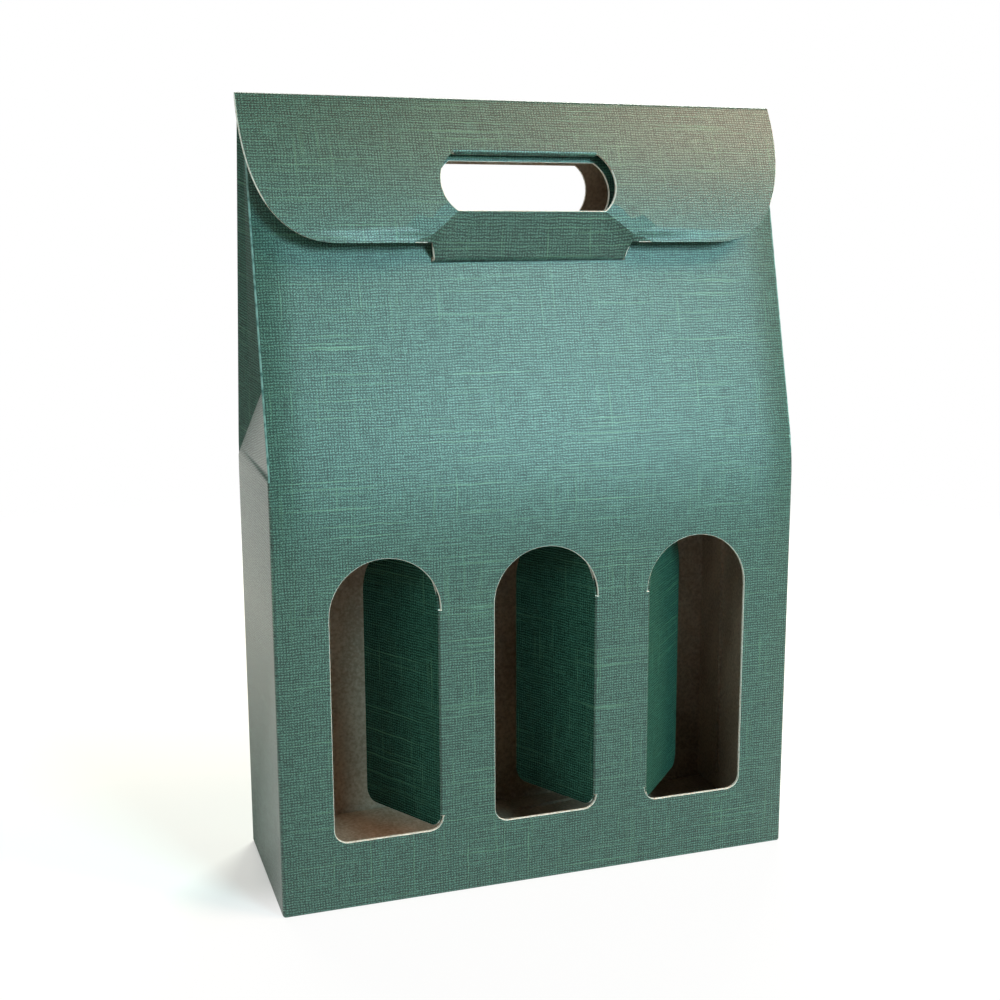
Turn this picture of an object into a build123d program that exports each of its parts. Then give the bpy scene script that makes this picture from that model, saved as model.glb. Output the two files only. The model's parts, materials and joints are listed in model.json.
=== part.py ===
from build123d import *
import os
from math import atan2, cos, degrees, radians, sin, sqrt

# A gift carrier for three bottles, folded from one sheet of microflute card.
# Millimetres. X runs along the width, the windows face -Y, Z points up, and the origin is
# the middle of the base. Outer faces carry the print, so sizes are taken over them.

# Carton
width = 270.0
depth = 94.0
height = 387.2
shoulder_height = 212.0
card = 1.5
corner_radius = 1.5
base_edge_radius = 0.9
shoulder_bend = 120.0
back_crease_y = 8.0
spine_width = 12.4
front_panel_play = 0.9
front_panel_drop = 7.0

# Gussets that fold in between the leaning panels, along creases at 45 degrees
gusset_lean = 12.0

# Windows, whose cut-outs fold inwards as bottle dividers
window_pitch = 81.5
window_width = 54.6
window_sill = 34.0
window_height = 139.2
window_corner = 7.0
flap_cut_gap = 0.3
crease_play = 0.1
left_flap_angle = 61.5
middle_flap_angle = 62.5
right_flap_angle = 48.0

# Hand hole, the same outline in the closing flap and in both leaning panels
hole_straight = 75.0
hole_height = 27.0
hole_end_bulge = 7.2
flap_hole_drop = 39.7
panel_hole_drop = 43.2
grip_depth = 13.0
grip_gap = 0.3
grip_half_width = 36.8
grip_corner = 5.0

# Closing flap, measured down from the top and out from the sides
flap_overhang = 2.75
flap_drop = 68.2
flap_stand_off = 11.1
flap_bow = 2.2
flap_crease_radius = 2.5
flap_side_straight = 7.0
flap_corner_width = 42.0
tab_half_width = 51.0
tab_end_half_width = 49.2
tab_depth = 13.0
tab_corner = 6.0
slit_drop = 75.8
slit_play = 0.3
slit_end_play = 0.8
pull_in_half_width = 64.0
pull_in_drop = 64.2

# Base, with the lock flaps in layers
lock_flap_depth = 58.0
lock_tongue_depth = 14.0
lock_tongue_width = 120.0
side_flap_length = 145.5
side_flap_rise = 5.5
side_flap_margin = 1.5
side_flap_corner = 8.0
wedge_flap_depth = 15.1
glue_flap_width = 23.1
glue_flap_taper = 10.0

front_y = -depth / 2
back_y = depth / 2
front_crease_y = back_crease_y - spine_width
front_top_y = front_crease_y + front_panel_play
front_slope = (front_top_y - front_y) / (height - shoulder_height)
back_slope = (back_crease_y - back_y) / (height - shoulder_height)

# The top crease turns about the inner corner between the back panel and the spine.
back_lean_run = card * sqrt(1 + back_slope**2)
crease_z = height - card
crease_y = back_crease_y - back_lean_run - back_slope * card

flap_bottom = height - flap_drop
flap_bottom_y = front_y + front_slope * (flap_bottom - shoulder_height) - flap_stand_off
flap_hole_centre = height - flap_hole_drop

# The tuck tab is an arc about that crease, so it slides through its slit as the flap opens.
slit_height = height - slit_drop
slit_y = front_y + front_slope * (slit_height - shoulder_height)
tab_radius = sqrt((slit_y - crease_y) ** 2 + (slit_height - crease_z) ** 2)
slit_angle = degrees(atan2(slit_height - crease_z, slit_y - crease_y))

window_radius = window_width / 2
spring_height = window_sill + window_height - window_radius
window_places = (-window_pitch, 0.0, window_pitch)
floor_top = 2 * card


def hole_outline():
    """Slot with straight top and bottom and shallow round ends, about its own centre."""
    half = hole_straight / 2
    rise = hole_height / 2
    with BuildSketch() as outline:
        with BuildLine():
            Line((-half, rise), (half, rise))
            ThreePointArc((half, rise), (half + hole_end_bulge, 0), (half, -rise))
            Line((half, -rise), (-half, -rise))
            ThreePointArc((-half, -rise), (-half - hole_end_bulge, 0), (-half, rise))
        make_face()
    return outline.sketch


def gusset_recess(side, inset):
    """The space outside one folded-in gusset, grown by inset towards the inside."""
    edge_x = side * width / 2
    lean = radians(gusset_lean)
    front_corner = Vector(edge_x, front_y, shoulder_height)
    back_corner = Vector(edge_x, back_y, shoulder_height)
    front_top = Vector(edge_x, front_top_y, height)
    back_top = Vector(edge_x, back_crease_y, height)
    apex = Vector(
        edge_x - side * depth / 2 * sin(lean),
        0,
        shoulder_height + depth / 2 * cos(lean),
    )
    outside = (front_top + back_top) * 0.5
    room = height - shoulder_height
    with BuildPart() as recess:
        with Locations((edge_x, 0, shoulder_height + room / 2)):
            Box(width / 2, 2 * depth, 2 * room)
        for corner, far in ((front_corner, back_corner), (front_corner, front_top), (back_corner, back_top)):
            normal = (far - corner).cross(apex - corner).normalized()
            if normal.dot(outside - corner) < 0:
                normal = normal * -1
            split(bisect_by=Plane(origin=corner - normal * inset, z_dir=normal), keep=Keep.TOP)
    return recess.part


def gabled_form(inset):
    """The closed form of the carton: upright walls, leaning panels and folded-in gussets."""
    with BuildPart() as form:
        with BuildSketch(Plane.YZ) as profile:
            with BuildLine():
                Polyline(
                    (front_y, 0),
                    (front_y, shoulder_height),
                    (front_top_y, height),
                    (back_crease_y, height),
                    (back_y, shoulder_height),
                    (back_y, 0),
                    close=True,
                )
            make_face()
            fillet(profile.vertices().group_by(Axis.Y)[1], shoulder_bend)
            if inset:
                offset(amount=-inset, kind=Kind.INTERSECTION)
        extrude(amount=width / 2 - inset, both=True)
        if not inset:
            fillet(form.edges().filter_by(Axis.X).group_by(Axis.Z)[0], base_edge_radius)
            walls = form.faces().filter_by(Axis.X)
            upright = [
                edge
                for edge in walls.edges()
                if edge.center().Z > base_edge_radius and edge.center().Z < height - card
            ]
            fillet(upright, corner_radius)
        for side in (-1, 1):
            add(gusset_recess(side, inset), mode=Mode.SUBTRACT)
    return form.part


# Side bottom flap, which springs up a little in the middle, with round corners at its end
inner_x = width / 2 - card
flap_end_x = side_flap_length - inner_x
with BuildPart() as side_flap:
    with BuildSketch(Plane.XZ.offset(-(back_y - card - side_flap_margin))):
        with BuildLine():
            spring = ThreePointArc(
                (-inner_x - card / 2, floor_top),
                ((flap_end_x - inner_x) / 2, floor_top + side_flap_rise),
                (flap_end_x, floor_top),
            )
            offset(spring, amount=card, side=Side.LEFT)
        make_face()
    extrude(amount=depth - 2 * card - 2 * side_flap_margin)
    end_corners = [edge for edge in side_flap.edges().sort_by(Axis.X)[-4:] if edge.length < 2 * card]
    fillet(end_corners, side_flap_corner)

# Front, back, sides, gussets, bottom flaps and glue flap: one folded sheet
with BuildPart() as carton:
    add(gabled_form(0))
    add(gabled_form(card), mode=Mode.SUBTRACT)

    # The front panel and gussets stop below the spine, and the back panel at its crease.
    front_panel_top = height - front_panel_drop
    inner_back_y = crease_y + back_slope * (front_panel_top - crease_z)
    swing = Vector(0, back_slope, 1).normalized()
    crease_stop = Vector(0, crease_y, crease_z) - swing * (card + crease_play)
    across = Vector(0, 1, -back_slope).normalized() * depth
    with BuildSketch(Plane.YZ):
        with BuildLine():
            Polyline(
                (-depth, front_panel_top),
                (inner_back_y, front_panel_top),
                (crease_stop.Y, crease_stop.Z),
                ((crease_stop + across).Y, (crease_stop + across).Z),
                (depth, height + card),
                (-depth, height + card),
                close=True,
            )
        make_face()
    extrude(amount=width, both=True, mode=Mode.SUBTRACT)

    # Second layer of the base, and the outer lock flap with its tongue seen from below
    with Locations((0, 0, 1.5 * card)):
        Box(width - 2 * card, depth - 2 * card, card)
    with BuildSketch() as open_underside:
        with Locations((0, back_y - card)):
            Rectangle(
                width - 2 * card,
                depth - card - lock_flap_depth,
                align=(Align.CENTER, Align.MAX),
            )
        with Locations((0, front_y + lock_flap_depth)):
            Rectangle(
                lock_tongue_width,
                lock_tongue_depth,
                align=(Align.CENTER, Align.MIN),
                mode=Mode.SUBTRACT,
            )
    extrude(amount=card, mode=Mode.SUBTRACT)

    add(side_flap.part)

    # Slanted back bottom flap, whose fluted edge runs across the floor
    with BuildSketch(Plane.XY.offset(floor_top)):
        with BuildLine():
            Polyline(
                (flap_end_x, back_y - card),
                (flap_end_x, back_y - card - wedge_flap_depth),
                (inner_x, back_y - card),
                close=True,
            )
        make_face()
    extrude(amount=card)

    # Glue flap of the back panel, on the inside of the right wall
    glue_top = shoulder_height - glue_flap_taper
    with BuildSketch(Plane.YZ.offset(inner_x - card)):
        with BuildLine():
            Polyline(
                (back_y - card, floor_top),
                (back_y - card - glue_flap_width, floor_top + glue_flap_taper),
                (back_y - card - glue_flap_width, glue_top - glue_flap_taper),
                (back_y - card, glue_top),
                close=True,
            )
        make_face()
    extrude(amount=card)

    # Three arched windows
    with BuildSketch(Plane.XZ.offset(-front_y)) as windows:
        for place in window_places:
            with Locations((place, window_sill)):
                Rectangle(
                    window_width,
                    window_height - window_radius,
                    align=(Align.CENTER, Align.MIN),
                )
            with Locations((place, spring_height)):
                Circle(window_radius)
        fillet(windows.vertices().group_by(Axis.Y)[0], window_corner)
    extrude(amount=-card, mode=Mode.SUBTRACT)

    # Rounded seat along the creased side of each window
    for place, side in zip(window_places, (1, 1, -1)):
        with BuildSketch(Plane.XY.offset(window_sill + window_corner)):
            with Locations((place + side * window_radius, front_y + card)):
                Circle(card + crease_play)
        extrude(amount=spring_height - window_sill - window_corner, mode=Mode.SUBTRACT)

    # Hand holes through both leaning panels
    with BuildSketch(Plane.XZ):
        with Locations((0, height - panel_hole_drop)):
            add(hole_outline())
    extrude(amount=depth, both=True, mode=Mode.SUBTRACT)

    # Slit for the tuck tab, cut along the tab's own arc
    with BuildSketch(Plane.YZ) as slit:
        with Locations((crease_y, crease_z)):
            Circle(tab_radius + card / 2 + slit_play)
            Circle(tab_radius - card / 2 - slit_play, mode=Mode.SUBTRACT)
        with Locations((slit_y, slit_height)):
            Rectangle(6 * card, 6 * card, mode=Mode.INTERSECT)
    extrude(amount=tab_end_half_width + slit_end_play, both=True, mode=Mode.SUBTRACT)

carton.part.label = "carton"


def window_flap(name, place, side, angle):
    """Cut-out of one window, creased along one straight side and turned inwards."""
    hinge_x = place + side * window_radius
    hinge_y = front_y + card
    crease_bottom = window_sill + window_corner
    crease_length = spring_height - crease_bottom
    with BuildPart() as flap:
        with BuildSketch(Plane.XZ.offset(-front_y)) as outline:
            with Locations((place, window_sill)):
                Rectangle(
                    window_width,
                    window_height - window_radius,
                    align=(Align.CENTER, Align.MIN),
                )
            with Locations((place, spring_height)):
                Circle(window_radius)
            fillet(outline.vertices().group_by(Axis.Y)[0], window_corner)
            offset(amount=-flap_cut_gap)
        extrude(amount=-card)
        with BuildSketch(Plane.XZ.offset(-front_y)):
            with Locations((hinge_x, crease_bottom + crease_play)):
                Rectangle(
                    2 * flap_cut_gap,
                    crease_length - 2 * crease_play,
                    align=(Align.MAX if side > 0 else Align.MIN, Align.MIN),
                )
        extrude(amount=-card)
        with BuildSketch(Plane.XY.offset(crease_bottom + crease_play)):
            with Locations((hinge_x, hinge_y)):
                Circle(card)
        extrude(amount=crease_length - 2 * crease_play)
    turned = flap.part.rotate(Axis((hinge_x, hinge_y, 0), (0, 0, 1)), -side * angle)
    turned.label = name
    return turned


left_window_flap = window_flap("left_window_flap", window_places[0], 1, left_flap_angle)
middle_window_flap = window_flap("middle_window_flap", window_places[1], 1, middle_flap_angle)
right_window_flap = window_flap("right_window_flap", window_places[2], -1, right_flap_angle)


def on_circle(centre, radius, angle):
    """Point of the side profile on a circle, by its angle from +Y towards +Z."""
    return centre + Vector(radius * cos(radians(angle)), radius * sin(radians(angle)))


# The closing flap's side profile is one bowed arc from the front crease to the bottom edge.
crease = Vector(crease_y, crease_z)
front_crease = Vector(front_crease_y, height)
chord = Vector(flap_bottom_y, flap_bottom) - front_crease
bow_direction = Vector(chord.Y, -chord.X).normalized()
bow_radius = (chord.length**2 / 4 + flap_bow**2) / (2 * flap_bow)
bow_centre = front_crease + chord * 0.5 + bow_direction * (flap_bow - bow_radius)


def on_bow(level):
    """Point of the bowed flap's outer face at a height."""
    return Vector(bow_centre.X - sqrt(bow_radius**2 - (level - bow_centre.Y) ** 2), level)


# Where the card turns from the flap into the tab, just outside the front panel
tab_start_angle = slit_angle - degrees(1.5 * card / tab_radius)
tab_end_angle = slit_angle + degrees(tab_depth / tab_radius)
tab_outer = tab_radius + card / 2


def inner_corner(corner, before, after):
    """Point of the inner face behind a corner of the outer face, between two directions."""
    first = Vector(-before.Y, before.X).normalized()
    second = Vector(-after.Y, after.X).normalized()
    return corner + (first + second) * (card / (1 + first.dot(second)))


def flap_section(x, turn_level, pulled_in):
    """Section of the spine, flap and tab, bowed down to turn_level and then bent to the tab."""
    turn = on_bow(turn_level)
    middle = on_bow((height + turn_level) / 2)
    tab_middle_angle = (tab_start_angle + tab_end_angle) / 2
    tab_points = [
        on_circle(crease, tab_outer, angle)
        for angle in (tab_start_angle, tab_middle_angle, tab_end_angle)
    ]
    inner_tab = [
        on_circle(crease, tab_outer - card, angle)
        for angle in (tab_middle_angle, tab_end_angle)
    ]
    if not pulled_in:
        shift = on_bow(tab_points[0].Y) - tab_points[0]
        tab_points = [point + shift for point in tab_points]
        inner_tab = [point + shift for point in inner_tab]
    crease_run = Vector(bow_centre.Y - front_crease.Y, front_crease.X - bow_centre.X)
    turn_run = Vector(bow_centre.Y - turn.Y, turn.X - bow_centre.X)
    link = tab_points[0] - turn
    tab_run = tab_points[1] - tab_points[0]
    inner_crease = inner_corner(front_crease, Vector(-1, 0), crease_run)
    inner_turn = inner_corner(turn, turn_run, link)
    inner_start = inner_corner(tab_points[0], link, tab_run)
    inner_middle = middle + (bow_centre - middle).normalized() * card
    with BuildSketch(Plane.YZ.offset(x)) as section:
        with BuildLine():
            Line((crease_y, crease_z), (crease_y, height))
            Line((crease_y, height), front_crease)
            ThreePointArc(front_crease, middle, turn)
            Line(turn, tab_points[0])
            ThreePointArc(*tab_points)
            Line(tab_points[2], inner_tab[1])
            ThreePointArc(inner_tab[1], inner_tab[0], inner_start)
            Line(inner_start, inner_turn)
            ThreePointArc(inner_turn, inner_middle, inner_crease)
            Line(inner_crease, (crease_y, crease_z))
        make_face()
        outer_corner = section.vertices().sort_by_distance(front_crease)[0]
        fillet(outer_corner, flap_crease_radius)
        hollow_corner = section.vertices().sort_by_distance(inner_crease)[0]
        fillet(hollow_corner, flap_crease_radius - card)
    return section.sketch.face()


# Closing flap with its spine, hand hole, folded-in grip piece and tuck tab
with BuildPart() as closing_flap:
    half_hole = hole_straight / 2
    hole_bottom = flap_hole_centre - hole_height / 2
    stations = (
        (width / 2 + flap_overhang, flap_bottom, False),
        (pull_in_half_width, flap_bottom, False),
        (tab_half_width, height - pull_in_drop, True),
        (half_hole, hole_bottom, True),
    )
    sections = [flap_section(-x, level, pulled) for x, level, pulled in stations]
    sections += [flap_section(x, level, pulled) for x, level, pulled in reversed(stations)]
    loft(sections, ruled=True)
    # Rounded roll of the top crease
    with BuildSketch(Plane.YZ):
        with Locations((crease_y, crease_z)):
            Circle(card)
    extrude(amount=width / 2, both=True)

    # Outline: large swept corners, and the slightly narrowed tab
    half = width / 2 + flap_overhang
    corner_start = height - flap_side_straight
    with BuildSketch(Plane.XZ) as outline:
        with BuildLine():
            Polyline(
                (-half, corner_start),
                (-half, height + card),
                (half, height + card),
                (half, corner_start),
            )
            for side in (1, -1):
                Bezier(
                    (side * half, corner_start),
                    (side * half, corner_start - 0.6 * (corner_start - flap_bottom)),
                    (side * (half - 0.3 * flap_corner_width), flap_bottom),
                    (side * (half - flap_corner_width), flap_bottom),
                )
            Polyline(
                (half - flap_corner_width, flap_bottom),
                (tab_half_width, flap_bottom),
                (tab_end_half_width, slit_height),
                (tab_end_half_width, 0),
                (-tab_end_half_width, 0),
                (-tab_end_half_width, slit_height),
                (-tab_half_width, flap_bottom),
                (-half + flap_corner_width, flap_bottom),
            )
        make_face()
        with Locations((0, flap_hole_centre)):
            add(hole_outline(), mode=Mode.SUBTRACT)
    extrude(amount=depth, both=True, mode=Mode.INTERSECT)

    # The spine narrows from the flap's width to the carton's.
    with BuildSketch(Plane.XY.offset(height - 2 * flap_crease_radius)):
        for side in (1, -1):
            with BuildLine():
                Polyline(
                    (side * half, front_crease_y),
                    (side * width / 2, crease_y - card),
                    (side * width / 2, back_y),
                    (side * (half + card), back_y),
                    (side * (half + card), front_crease_y),
                    close=True,
                )
            make_face()
    extrude(amount=3 * flap_crease_radius, mode=Mode.SUBTRACT)

    tab_end = on_circle(crease, tab_radius, tab_end_angle)
    for side in (1, -1):
        corner = Vector(side * tab_end_half_width, tab_end.X, tab_end.Y)
        fillet(closing_flap.edges().sort_by_distance(corner)[0], tab_corner)

    # The hole's cut-out stays on along its top edge, rolled over and up behind the flap
    roll_radius = card + grip_gap / 2
    piece_radius = bow_radius - card - grip_gap
    roll_start = on_bow(flap_hole_centre + hole_height / 2 + roll_radius) - bow_centre
    roll_angle = degrees(atan2(roll_start.Y, roll_start.X))
    roll_centre = on_circle(bow_centre, bow_radius - roll_radius, roll_angle)
    across_roll = Location((roll_centre.X, roll_centre.Y), roll_angle)
    with BuildSketch(Plane.YZ):
        with Locations(across_roll):
            Rectangle(2 * roll_radius, 2 * roll_radius, align=(Align.MIN, Align.MIN))
    extrude(amount=grip_half_width, both=True, mode=Mode.SUBTRACT)
    with BuildSketch(Plane.YZ):
        with Locations(across_roll):
            Circle(roll_radius)
            Circle(grip_gap / 2, mode=Mode.SUBTRACT)
            Rectangle(
                4 * roll_radius,
                2 * roll_radius,
                align=(Align.CENTER, Align.MAX),
                mode=Mode.SUBTRACT,
            )
    extrude(amount=grip_half_width, both=True)
    piece_angles = [roll_angle - degrees(part * grip_depth / piece_radius) for part in (0, 0.5, 1)]
    outer_arc = [on_circle(bow_centre, piece_radius, angle) for angle in piece_angles]
    inner_arc = [on_circle(bow_centre, piece_radius - card, angle) for angle in reversed(piece_angles)]
    with BuildSketch(Plane.YZ):
        with BuildLine():
            ThreePointArc(*outer_arc)
            Line(outer_arc[2], inner_arc[0])
            ThreePointArc(*inner_arc)
            Line(inner_arc[2], outer_arc[0])
        make_face()
    extrude(amount=grip_half_width, both=True)
    piece_end = (outer_arc[2] + inner_arc[0]) * 0.5
    for side in (1, -1):
        corner = Vector(side * grip_half_width, piece_end.X, piece_end.Y)
        fillet(closing_flap.edges().sort_by_distance(corner)[0], grip_corner)

closing_flap.part.label = "closing_flap"

os.makedirs("parts", exist_ok=True)
for piece in (
    carton.part,
    closing_flap.part,
    left_window_flap,
    middle_window_flap,
    right_window_flap,
):
    export_step(piece, f"parts/{piece.label}.step")
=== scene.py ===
import bpy
import bmesh
import json
from math import asin, cos, hypot, radians, sin, tan
from mathutils import Matrix, Vector
from mathutils.bvhtree import BVHTree

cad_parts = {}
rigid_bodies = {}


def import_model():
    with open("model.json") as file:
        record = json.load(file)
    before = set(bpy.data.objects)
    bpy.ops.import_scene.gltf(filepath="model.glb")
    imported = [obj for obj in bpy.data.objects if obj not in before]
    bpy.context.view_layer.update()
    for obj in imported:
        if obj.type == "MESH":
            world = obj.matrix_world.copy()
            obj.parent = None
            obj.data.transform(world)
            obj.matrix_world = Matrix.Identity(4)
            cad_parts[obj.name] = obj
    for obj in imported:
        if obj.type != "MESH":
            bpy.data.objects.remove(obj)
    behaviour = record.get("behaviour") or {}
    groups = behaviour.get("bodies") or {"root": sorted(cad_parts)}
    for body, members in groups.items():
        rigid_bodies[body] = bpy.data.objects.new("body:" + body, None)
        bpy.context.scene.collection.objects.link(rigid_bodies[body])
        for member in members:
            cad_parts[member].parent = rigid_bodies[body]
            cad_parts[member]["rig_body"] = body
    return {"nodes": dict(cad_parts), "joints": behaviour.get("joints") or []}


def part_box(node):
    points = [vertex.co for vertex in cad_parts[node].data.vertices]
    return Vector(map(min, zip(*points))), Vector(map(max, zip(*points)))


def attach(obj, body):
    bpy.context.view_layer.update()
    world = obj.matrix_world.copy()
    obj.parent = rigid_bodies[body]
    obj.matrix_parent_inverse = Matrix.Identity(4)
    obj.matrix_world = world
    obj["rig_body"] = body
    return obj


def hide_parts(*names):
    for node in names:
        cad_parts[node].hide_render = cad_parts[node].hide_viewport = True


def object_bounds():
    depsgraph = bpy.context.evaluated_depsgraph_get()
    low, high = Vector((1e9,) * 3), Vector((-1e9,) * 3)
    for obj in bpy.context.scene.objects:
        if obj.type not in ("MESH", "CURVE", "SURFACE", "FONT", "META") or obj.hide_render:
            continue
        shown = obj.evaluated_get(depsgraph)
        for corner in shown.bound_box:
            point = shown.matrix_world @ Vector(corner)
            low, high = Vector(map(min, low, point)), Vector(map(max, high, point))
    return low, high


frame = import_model()
cad_low, cad_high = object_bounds()

# The carton
# One sheet of microflute card, printed green with a linen emboss on the outside and plain brown
# inside. It is creased, folded and glued along one side, with its gabled sides folded in.
half_width = 0.135
half_depth = 0.047
shoulder = 0.212
top = cad_high.z
front_top_y = -0.0035
back_top_y = 0.008
bend_radius = 0.12
gusset_lean = radians(12)
card = 0.0015
rim = 0.0002
fold_radius = 0.0008
PRINT, KRAFT, EDGE, FOLDED_IN_SHADED, FOLD_PAINTED_HIGHLIGHT = range(5)


class Socket:
    """One output of a material's node. Arithmetic on it adds Math nodes."""

    def __init__(self, finish, output):
        self.finish = finish
        self.output = output

    def math(self, operation, first, second=0.0, third=0.0):
        return self.finish.node(
            "ShaderNodeMath", {"operation": operation}, {0: first, 1: second, 2: third}
        )

    def __add__(self, other):
        return self.math("ADD", self, other)

    def __radd__(self, other):
        return self.math("ADD", other, self)

    def __sub__(self, other):
        return self.math("SUBTRACT", self, other)

    def __rsub__(self, other):
        return self.math("SUBTRACT", other, self)

    def __mul__(self, other):
        return self.math("MULTIPLY", self, other)

    def __rmul__(self, other):
        return self.math("MULTIPLY", other, self)

    def __truediv__(self, other):
        return self.math("DIVIDE", self, other)

    def sine(self):
        return self.math("SINE", self)

    def size(self):
        return self.math("ABSOLUTE", self)

    def step(self, low, high):
        """0 below low, 1 above high and smooth between them."""
        return self.finish.node(
            "ShaderNodeMapRange",
            {"interpolation_type": "SMOOTHSTEP"},
            {"Value": self, "From Min": low, "From Max": high},
        )


class Finish:
    """A material's nodes. The node method adds a node, sets it and links its sockets."""

    def __init__(self, owner):
        owner.use_nodes = True
        self.owner = owner
        self.tree = owner.node_tree
        self.tree.nodes.clear()

    def node(self, kind, settings=None, sockets=None, output=0):
        made = self.tree.nodes.new(kind)
        for name, value in (settings or {}).items():
            setattr(made, name, value)
        for name, value in (sockets or {}).items():
            if isinstance(value, Socket):
                self.tree.links.new(value.output, made.inputs[name])
            else:
                made.inputs[name].default_value = value
        return Socket(self, made.outputs[output] if len(made.outputs) else None)

    def parts(self, vector):
        """The x, y and z of a vector socket."""
        split = self.node("ShaderNodeSeparateXYZ", None, {0: vector})
        return [Socket(self, output) for output in split.output.node.outputs]

    def stretched_noise(self, place, x_size, y_size, z_size=1.0, detail=0.0, shift=0.0):
        """Noise whose spots are about x_size by y_size, in metres."""
        scaled = self.node(
            "ShaderNodeVectorMath",
            {"operation": "MULTIPLY_ADD"},
            {0: place, 1: (1 / x_size, 1 / y_size, 1 / z_size), 2: (shift, shift, shift)},
        )
        return self.node(
            "ShaderNodeTexNoise", None, {"Vector": scaled, "Scale": 1.0, "Detail": detail}
        )

    def blend(self, factor, first, second):
        """Colour between first and second."""
        return self.node(
            "ShaderNodeMix", {"data_type": "RGBA"}, {0: factor, 6: first, 7: second}, output=2
        )

    def finish(self, color, roughness, normal=None, **constants):
        sockets = {"Base Color": color, "Roughness": roughness}
        if normal is not None:
            sockets["Normal"] = normal
        sockets.update({name.replace("_", " "): value for name, value in constants.items()})
        shader = self.node("ShaderNodeBsdfPrincipled", None, sockets)
        self.node("ShaderNodeOutputMaterial", None, {"Surface": shader})
        return self.owner


def color(red, green, blue):
    """Linear colour of an 8-bit screen colour."""
    levels = [value / 255 for value in (red, green, blue)]
    linear = [v / 12.92 if v <= 0.04045 else ((v + 0.055) / 1.055) ** 2.4 for v in levels]
    return (*linear, 1.0)


def linen_print(name, gloss):
    """Green ink on paper embossed like linen. Its raised threads shine more, by the gloss."""
    finish = Finish(bpy.data.materials.new(name))
    place = finish.node("ShaderNodeUVMap", {"uv_map": "sheet"})
    across, up, _ = finish.parts(place)
    drift = finish.stretched_noise(place, 0.011, 0.011, detail=1.0)
    sway = finish.stretched_noise(place, 0.011, 0.011, detail=1.0, shift=31.0)
    weft = (up * (6283.2 / 1.33) + drift * 6.5).sine() * 0.5 + 0.5
    warp = (across * (6283.2 / 1.38) + sway * 6.5).sine() * 0.5 + 0.5
    grain = finish.stretched_noise(place, 0.0006, 0.00055, detail=1.0, shift=7.0)
    weft_run = finish.stretched_noise(place, 0.008, 0.0010, detail=1.0, shift=13.0)
    warp_run = finish.stretched_noise(place, 0.0011, 0.012, detail=1.0, shift=17.0)
    weave = 0.26 + weft * (0.2 + warp * 0.58) + (grain - 0.5) * 2.5
    weave = weave + (weft_run - 0.5) * 0.6 + (warp_run - 0.5) * 0.4
    wander = finish.node(
        "ShaderNodeVectorMath",
        {"operation": "MULTIPLY_ADD"},
        {0: finish.node("ShaderNodeCombineXYZ", None, {0: sway, 1: drift}), 1: (0.0012, 0.0012, 0.0), 2: place},
    )
    weft_slub = finish.stretched_noise(wander, 0.065, 0.0008, shift=11.0).step(0.67, 0.81)
    warp_slub = finish.stretched_noise(wander, 0.0008, 0.045, shift=19.0).step(0.70, 0.84)
    slubs = weft_slub.math("MAXIMUM", weft_slub, warp_slub * 0.8)
    raised = weave.step(0.0, 1.3)
    normal = finish.node(
        "ShaderNodeBump", None, {"Strength": 0.7, "Distance": 0.00015, "Height": raised * 0.6 + slubs * 0.5}
    )
    shade = finish.blend(raised, color(4, 32, 25), color(65, 119, 101))
    shade = finish.blend(slubs * 0.4, shade, color(100, 150, 116))
    return finish.finish(
        shade, 0.5, normal, Specular_IOR_Level=0.4 * gloss,
        Coat_Weight=(raised * raised * 0.86 + 0.27) * gloss, Coat_Roughness=0.43, Coat_IOR=1.7,
        Sheen_Weight=0.25 * gloss, Sheen_Roughness=0.4, Sheen_Tint=(1.0, 0.97, 0.9, 1.0),
    )


def brown_kraft():
    """Unbleached inner paper, mottled by fine fibres and soft clouds of tone."""
    finish = Finish(bpy.data.materials.new("brown_kraft"))
    place = finish.node("ShaderNodeTexCoord", None, None, output=3)
    fibres = finish.stretched_noise(place, 0.0015, 0.0015, 0.0015, detail=4.0)
    clouds = finish.stretched_noise(place, 0.02, 0.02, 0.05, detail=2.0, shift=5.0)
    tone = fibres * 0.6 + clouds * 0.4
    shade = finish.blend(tone.step(0.3, 0.7), color(146, 128, 110), color(190, 172, 152))
    normal = finish.node(
        "ShaderNodeBump", None, {"Strength": 0.3, "Distance": 0.0001, "Height": fibres}
    )
    return finish.finish(shade, 0.85, normal)


def cut_edge():
    """Cut edge of the card, pale liner paper either side of the flutes."""
    finish = Finish(bpy.data.materials.new("cut_card_edge"))
    place = finish.node("ShaderNodeTexCoord", None, None, output=3)
    flutes = finish.stretched_noise(place, 0.0011, 0.0011, 0.0011, detail=2.0)
    shade = finish.blend(flutes.step(0.3, 0.6), color(210, 203, 187), color(244, 240, 230))
    return finish.finish(shade, 0.8)


def fold_painted_highlight():
    """A painted highlight along a sharp fold: pale teal in patches, where the rounded fold would catch the light.
    """
    finish = Finish(bpy.data.materials.new("fold_painted_highlight"))
    place = finish.node("ShaderNodeUVMap", {"uv_map": "sheet"})
    highlight_patches = finish.stretched_noise(place, 0.0012, 0.004, detail=2.0)
    return finish.finish(finish.blend(highlight_patches.step(0.3, 0.6), color(62, 106, 100), color(128, 168, 160)), 0.5)


# The second copy of the print has little gloss and stands in for shade: it is painted shade on the folded-in
# sides and on the window flaps' printed faces.
card_finishes = [
    linen_print("green_linen_print", 1.0), brown_kraft(), cut_edge(),
    linen_print("green_linen_matt_painted_shade", 0.13), fold_painted_highlight(),
]


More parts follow.
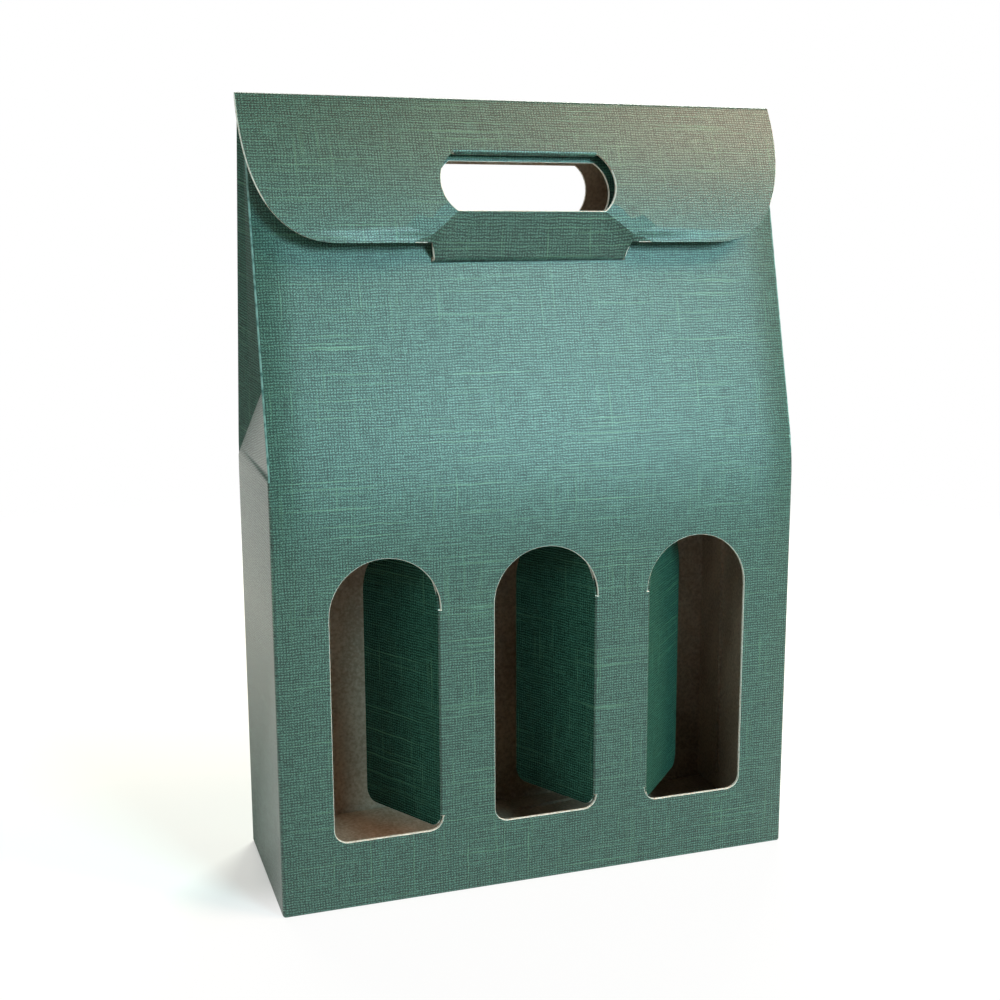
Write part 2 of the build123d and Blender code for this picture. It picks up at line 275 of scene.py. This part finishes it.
def sheet_piece(node, side_of, place_of, lie_of=None, planes=(), rim=rim):
    """A node's card with its printed, plain and cut faces told apart and a flat-sheet map."""
    mesh = bmesh.new()
    mesh.from_mesh(frame["nodes"][node].data)
    bmesh.ops.remove_doubles(mesh, verts=mesh.verts, dist=1e-6)
    tree = BVHTree.FromBMesh(mesh)
    for face in mesh.faces:
        face.material_index = side_of(face, tree)
    bmesh.ops.dissolve_limit(
        mesh, angle_limit=radians(0.6), verts=mesh.verts, edges=mesh.edges, delimit={"MATERIAL"}
    )
    cuts = [
        edge for edge in mesh.edges
        if EDGE in {face.material_index for face in edge.link_faces}
        and {face.material_index for face in edge.link_faces} & {PRINT, FOLDED_IN_SHADED, FOLD_PAINTED_HIGHLIGHT}
        and edge.calc_face_angle(0.0) > radians(50)
    ]
    bmesh.ops.bevel(mesh, geom=cuts, offset=rim, segments=1, profile=0.5, affect="EDGES", material=EDGE)
    folds = [
        edge for edge in mesh.edges
        if {face.material_index for face in edge.link_faces} == {PRINT} and edge.is_convex
        and radians(50) < edge.calc_face_angle(0.0) < radians(130) and edge.calc_length() > 0.02
    ]
    bmesh.ops.bevel(mesh, geom=folds, offset=fold_radius, segments=3, profile=0.5, affect="EDGES", material=PRINT)
    for place, normal in planes:
        everything = mesh.verts[:] + mesh.edges[:] + mesh.faces[:]
        bmesh.ops.bisect_plane(mesh, geom=everything, plane_co=place, plane_no=normal, dist=1e-7)
    sheet = mesh.loops.layers.uv.new("sheet")
    for face in mesh.faces:
        face.smooth = True
        centre = face.calc_center_median()
        for loop in face.loops:
            loop[sheet].uv = place_of(loop.vert.co, centre, face.normal)
    for edge in mesh.edges:
        faces = edge.link_faces
        flat = len(faces) == 2 and faces[0].normal.angle(faces[1].normal, 0.0) < radians(35)
        edge.smooth = flat
    data = bpy.data.meshes.new(node + "_sheet")
    mesh.to_mesh(data)
    mesh.free()
    if lie_of:
        data.normals_split_custom_set([
            lie_of(face, data.vertices[corner].co)
            for face in data.polygons for corner in face.vertices
        ])
    piece = bpy.data.objects.new(node + "_sheet", data)
    bpy.context.scene.collection.objects.link(piece)
    for material in card_finishes:
        data.materials.append(material)
    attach(piece, frame["nodes"][node]["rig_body"])
    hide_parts(node)
    return piece


front_line = Vector((0, front_top_y + half_depth, top - shoulder)).normalized()
back_line = Vector((0, back_top_y - half_depth, top - shoulder)).normalized()
bend_reach = bend_radius * tan(radians(7.1))


def form_depth(point):
    """How far a point lies below the outside of the folded carton."""
    rise = point.z - shoulder
    front = min(
        point.y + half_depth,
        (point.y + half_depth) * front_line.z - rise * front_line.y,
    )
    back = min(
        half_depth - point.y,
        (half_depth - point.y) * back_line.z + rise * back_line.y,
    )
    if abs(rise) < bend_reach:
        bend = (bend_reach - abs(rise)) ** 2 / (2 * bend_radius)
        front -= bend
        back -= bend
    depths = [front, back, half_width - abs(point.x)]
    if rise > -0.004:
        spot = Vector((abs(point.x) - half_width, point.y, rise))
        depths.append(max(spot.dot(normal) - (corner.dot(normal)) for corner, normal in gusset_planes))
    return min(depths)


front_corner = Vector((0, -half_depth, 0))
back_corner = Vector((0, half_depth, 0))
apex = Vector((-half_depth * sin(gusset_lean), 0, half_depth * cos(gusset_lean)))
gusset_planes = []
for start, end in (
    (front_corner, back_corner),
    (front_corner, front_corner + front_line),
    (back_corner, back_corner + back_line),
):
    gusset_normal = (end - start).cross(apex - start).normalized()
    outside = Vector((0, 0, top - shoulder))
    if gusset_normal.dot(outside - start) > 0:
        gusset_normal.negate()
    gusset_planes.append((start, gusset_normal))


def carton_side(face, tree):
    """Whether a face of the carton is printed, plain or cut."""
    centre = face.calc_center_median()
    if centre.z < 8 * card and abs(face.normal.z) > 0.5:
        return PRINT if face.normal.z < 0 else KRAFT
    depths = [form_depth(vertex.co) for vertex in face.verts]
    if max(depths) < 0.0008:
        if centre.z < shoulder or abs(face.normal.y) < 0.1 or abs(face.normal.x) < 0.3:
            return PRINT
        # Sloping faces at the folds above the shoulder take the painted fold highlight. The folded-in sides take
        # the matt copy of the print, which is painted shade.
        return FOLDED_IN_SHADED if abs(face.normal.x) > 0.85 else FOLD_PAINTED_HIGHLIGHT
    if centre.z > top - 0.004 and centre.y > back_top_y - 0.003 and face.normal.z > 0.3:
        return PRINT
    inner_back = centre.z > top - 0.04 and centre.y > 0 and face.normal.y < -0.9
    return KRAFT if min(depths) > 0.0011 or inner_back else EDGE


def carton_place(point, centre, normal):
    """Where a point of the carton lies on the flat sheet."""
    side = 1 if centre.x > 0 else -1
    rise = max(0.0, point.z - shoulder)
    if abs(normal.x) > 0.15 and abs(normal.y) < 0.97 and abs(centre.x) > half_width - 0.06:
        if centre.z > shoulder:
            toward_front = centre.y < (front_top_y + back_top_y) / 2
            corner = Vector((side * half_width, -half_depth if toward_front else half_depth, shoulder))
            line = front_line if toward_front else back_line
            along = (point - corner).dot(line)
            away = ((point - corner) - line * along).length
            across = away if toward_front else 2 * half_depth - away
            return (side * (half_width + across), shoulder + along)
        return (side * (half_width + half_depth + point.y), point.z)
    if abs(normal.z) > 0.7 and centre.z < 0.02:
        return (point.x, -point.y - half_depth)
    if normal.y < 0:
        return (point.x, point.z + rise * (1 / front_line.z - 1))
    return (2 * half_width + 2 * half_depth - point.x, point.z + rise * (1 / back_line.z - 1))


def carton_lie(face, point):
    """Which way the card faces, with the soft bows below the shoulder and along the sides."""
    if face.material_index != PRINT or abs(face.normal.y) < 0.94 or abs(face.normal.x) > 0.1:
        return (0, 0, 0)
    lean = rise(point.z, bow_low, bow_high) * asin(front_line.y if face.normal.y < 0 else -back_line.y)
    turn = rise(abs(point.x), bow_start, half_width) * radians(10) * (1 if point.x > 0 else -1)
    outward = -1 if face.normal.y < 0 else 1
    return (sin(turn), outward * cos(lean) * cos(turn), sin(lean))


def rise(value, low, high):
    """0 below low, 1 above high and smooth between them."""
    share = min(1.0, max(0.0, (value - low) / (high - low)))
    return share * share * (3 - 2 * share)


bow_low = shoulder - 0.07
bow_high = shoulder + 0.035
bow_start = half_width - 0.022
bow_planes = [((0, 0, bow_low + (bow_high - bow_low) * step / 24), (0, 0, 1)) for step in range(25)]
for step in range(12):
    column = bow_start + (half_width - bow_start) * step / 12
    bow_planes += [((-column, 0, 0), (1, 0, 0)), ((column, 0, 0), (1, 0, 0))]
sheet_piece("carton", carton_side, carton_place, carton_lie, bow_planes)

# The closing flap
# The same sheet runs on over the top as a narrow spine and a flap, which hangs in a shallow bow
# down the front. Its hand hole keeps the cut-out folded up behind, and its tab tucks in the slit.
flap_hinge = next(j for j in frame["joints"] if j["name"] == "closing_flap_crease")
flap_crease = Vector(flap_hinge["pos_m"])
front_crease = Vector((0, -0.0044, top))
hole_top = top - 0.0397 + 0.0135
grip_half_width = 0.0368
grip_depth = 0.013


def through_card(face, tree):
    """Whether the card is thin behind a face, so that the face isn't a cut edge."""
    centre = face.calc_center_median()
    hit = tree.ray_cast(centre - face.normal * 1e-5, -face.normal, 2.2 * card)
    return hit[0] is not None


def flap_side(face, tree):
    """Whether a face of the closing flap is printed, plain or cut."""
    centre = face.calc_center_median()
    if centre.y > flap_crease.y - 0.001 and abs(face.normal.x) < 0.5:
        return PRINT if face.normal.y + face.normal.z > 0 else KRAFT
    if not through_card(face, tree):
        slit = abs(abs(centre.x) - grip_half_width) < 0.002 and centre.z > hole_top
        return PRINT if slit else EDGE
    if abs(centre.x) < grip_half_width and hole_top - 0.001 < centre.z < hole_top + grip_depth + 0.004:
        skin = tree.ray_cast(Vector((centre.x, -0.2, centre.z)), Vector((0, 1, 0)))
        if centre.z < hole_top + 2.3 * card:
            return PRINT
        if skin[0] is not None and centre.y - skin[0].y > 1.2 * card:
            return PRINT if face.normal.y > 0 else KRAFT
    return PRINT if face.normal.dot(Vector((0, -1, 0.1))) > 0 else KRAFT


def flap_place(point, centre, normal):
    """Where a point of the closing flap lies on the flat sheet."""
    if centre.z > top - 1.7 * card and centre.y > front_crease.y + 0.002:
        along = flap_crease.y - point.y
    else:
        along = flap_crease.y - front_crease.y + hypot(point.y - front_crease.y, point.z - top)
    return (point.x, 0.6 - along)


def flap_lie(face, point):
    """Which way the card faces, with the part between the hole and the tab drawn in a little."""
    if face.material_index != PRINT or face.normal.y > -0.5:
        return (0, 0, 0)
    centre = face.center
    if abs(centre.x) > 0.052 or centre.z > hole_top - 0.024:
        return (0, 0, 0)
    return face.normal + Vector((0, 0, -0.30))


sheet_piece("closing_flap", flap_side, flap_place, flap_lie, rim=0.0004)

# The window flaps
# The cut-outs of the three windows stay on along one side each and fold inwards, printed side
# towards the opening, to keep the bottles apart.
for joint in frame["joints"]:
    if joint["name"] == "closing_flap_crease":
        continue
    hinge = Vector(joint["pos_m"])
    low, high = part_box(joint["child"])
    far = Vector((low.x if abs(low.x - hinge.x) > abs(high.x - hinge.x) else high.x, high.y, hinge.z))
    run = (far - hinge).normalized()
    facing = Vector((run.y, -run.x, 0)) * (-1 if run.x < 0 else 1)

    def window_side(face, tree, facing=facing, hinge=hinge):
        """Whether a face of a window flap is printed, plain or cut."""
        from_hinge = face.calc_center_median() - hinge
        if hypot(from_hinge.x, from_hinge.y) < 1.3 * card and abs(face.normal.z) < 0.5:
            return PRINT
        if not through_card(face, tree):
            return EDGE
        # The printed face takes the matt copy of the print, which is painted shade for the inside of the carton.
        return FOLDED_IN_SHADED if face.normal.dot(facing) > 0 else KRAFT

    def window_place(point, centre, normal, hinge=hinge, run=run):
        """Where a point of a window flap lies on the flat sheet."""
        away = (point - hinge).dot(run)
        return (hinge.x + (away if run.x > 0 else -away), point.z)

    sheet_piece(joint["child"], window_side, window_place)

# The studio
# A white floor and white surroundings, lit by large soft lamps. The camera stands low at the
# left, tipped a little downwards.
floor_data = bpy.data.meshes.new("floor")
floor_data.from_pydata([(-4, -4, 0), (4, -4, 0), (4, 4, 0), (-4, 4, 0)], [], [(0, 1, 2, 3)])
floor = bpy.data.objects.new("floor", floor_data)
bpy.context.scene.collection.objects.link(floor)


def seen_directly(finish):
    """1 for rays that should find a white background: camera, glossy and transmission rays."""
    ray = finish.node("ShaderNodeLightPath").output.node.outputs
    camera_ray, glossy_ray = Socket(finish, ray["Is Camera Ray"]), Socket(finish, ray["Is Glossy Ray"])
    seen = camera_ray.math("MAXIMUM", camera_ray, glossy_ray)
    return seen.math("MAXIMUM", seen, Socket(finish, ray["Is Transmission Ray"])), camera_ray


paving = Finish(bpy.data.materials.new("white_floor"))
spot = paving.node("ShaderNodeTexCoord", None, None, output=3)
reach = paving.node("ShaderNodeVectorMath", {"operation": "LENGTH"}, {0: spot}, output=1)
seen, camera_ray = seen_directly(paving)
tone = paving.blend(seen, (0.6, 0.6, 0.6, 1), (0.95, 0.95, 0.95, 1))
lit = paving.node("ShaderNodeBsdfDiffuse", None, {"Color": tone})
white = paving.node("ShaderNodeEmission", None, {"Color": (1, 1, 1, 1), "Strength": 1.0})
# Painted light: to the camera the floor glows white in front of the carton and far from it, which covers the
# carton's shadow in front. Beside and behind the carton the shadow stays.
_, away, _ = paving.parts(spot)
before = (0 - away).step(0.0, 0.06) * 0.88
share = 0.30 + 0.70 * before.math("MAXIMUM", before, reach.step(0.5, 1.1))
paved = paving.node("ShaderNodeMixShader", None, {0: seen * share, 1: lit, 2: white})
paving.node("ShaderNodeOutputMaterial", None, {"Surface": paved})
floor_data.materials.append(paving.owner)

studio = Finish(bpy.data.worlds.new("studio"))
bpy.context.scene.world = studio.owner
heading = studio.node("ShaderNodeTexCoord")
toward_wall = studio.node(
    "ShaderNodeVectorMath", {"operation": "DOT_PRODUCT"}, {0: heading, 1: (0.32, 0.95, 0.0)}, output=1
)
seen, camera_ray = seen_directly(studio)
wall = camera_ray.math("MAXIMUM", camera_ray, toward_wall.step(0.45, 0.85))
room = studio.node("ShaderNodeBackground", None, {"Color": (1, 1, 1, 1), "Strength": 0.06})
backdrop = studio.node("ShaderNodeBackground", None, {"Color": (1, 1, 1, 1), "Strength": 1.0})
around = studio.node("ShaderNodeMixShader", None, {0: seen * wall, 1: room, 2: backdrop})
studio.node("ShaderNodeOutputWorld", None, {"Surface": around})


def lamp(name, turn, climb, distance, size, power, tint):
    """A square soft lamp aimed at the carton, placed by its turn from the front and its climb."""
    aim = Vector((0, 0, 0.2))
    way = Vector((sin(radians(turn)) * cos(radians(climb)), -cos(radians(turn)) * cos(radians(climb)), sin(radians(climb))))
    data = bpy.data.lights.new(name, "AREA")
    data.size = size
    data.energy = power
    data.color = tint
    made = bpy.data.objects.new(name, data)
    made.location = aim + way * distance
    made.rotation_mode = "QUATERNION"
    made.rotation_quaternion = (-way).to_track_quat("-Z", "Y")
    bpy.context.scene.collection.objects.link(made)


lamp("right_rear", 150, 30, 2.2, 1.0, 45, (0.95, 1.0, 0.88))
lamp("left_rear", -170, 45, 2.2, 1.0, 24, (1.0, 0.95, 0.84))
lamp("left", -60, 30, 2.2, 1.0, 11, (0.88, 1.0, 0.96))
lamp("window", 22, 19, 1.6, 0.5, 21, (0.52, 0.92, 1.0))
lamp("overhead", 57, 48, 1.8, 0.7, 24, (1.0, 0.67, 0.49))

camera_place = Vector((-0.2324517, -0.6611633, 0.3191022))
camera_turn = 0.3267401
camera_dip = 0.1850880
camera_roll = -0.0034087
lens_in_pixels = 1376.46
ahead = Vector((
    sin(camera_turn) * cos(camera_dip),
    cos(camera_turn) * cos(camera_dip),
    -sin(camera_dip),
))
level_right = Vector((cos(camera_turn), -sin(camera_turn), 0))
level_up = level_right.cross(ahead)
right = level_right * cos(camera_roll) + level_up * sin(camera_roll)
up = level_up * cos(camera_roll) - level_right * sin(camera_roll)
camera_data = bpy.data.cameras.new("camera")
camera_data.sensor_width = 36
camera_data.lens = 36 * lens_in_pixels / 1000
camera = bpy.data.objects.new("camera", camera_data)
camera.matrix_world = Matrix.Translation(camera_place) @ Matrix((right, up, -ahead)).transposed().to_4x4()
bpy.context.scene.collection.objects.link(camera)
bpy.context.scene.camera = camera
bpy.context.scene.view_settings.view_transform = "Standard"
